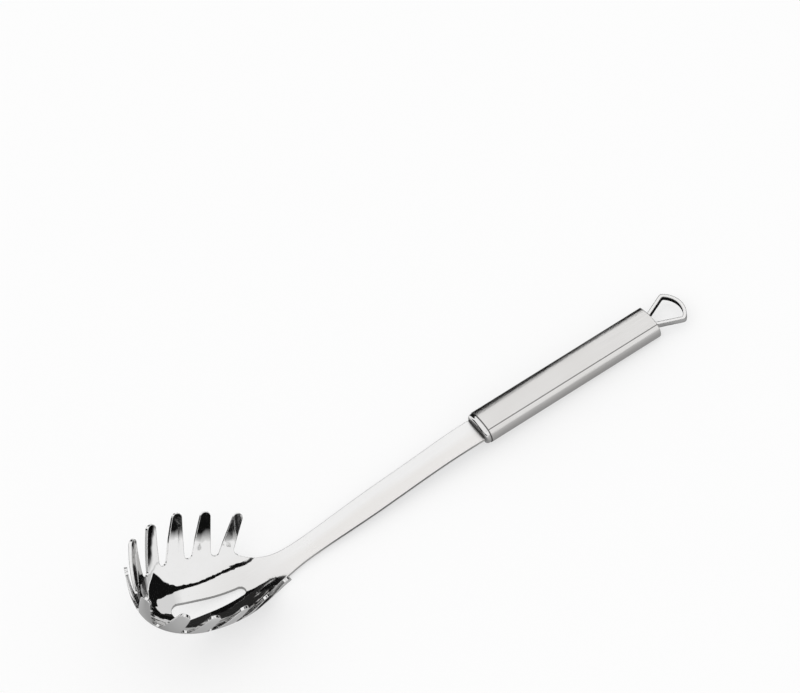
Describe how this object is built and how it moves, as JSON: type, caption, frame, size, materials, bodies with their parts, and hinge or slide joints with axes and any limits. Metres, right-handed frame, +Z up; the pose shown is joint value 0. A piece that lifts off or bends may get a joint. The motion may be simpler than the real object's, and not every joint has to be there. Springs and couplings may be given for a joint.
{
  "type": "pasta server",
  "caption": "Steel pasta server: a pronged bowl with a drain slot on a flat shaft that runs into a hollow handle, with a bent hanging loop at the rear end.",
  "frame": {"origin": "middle of the part's outline on the table it lies on, under the shaft near the handle", "axes": "+X along the part from the bowl to the hanging loop, +Y to one side, +Z up from the table, the bowl's inside facing up"},
  "size_m": [0.3192, 0.0716, 0.0527],
  "materials": {
    "head_steel": "mirror polished bowl and satin shaft, stainless steel",
    "handle_steel": "satin brushed along its length, stainless steel",
    "cap_steel": "polished stainless steel",
    "loop_steel": "polished stainless steel",
    "weld_steel": "raw weld bead, hidden inside the handle"
  },
  "bodies": {
    "root": {"server_head": "head_steel", "handle_tube": "handle_steel", "front_cap": "cap_steel", "rear_cap": "cap_steel", "hanging_loop": "loop_steel", "tang_welds": "weld_steel", "loop_weld": "weld_steel"}
  },
  "joints": []
}
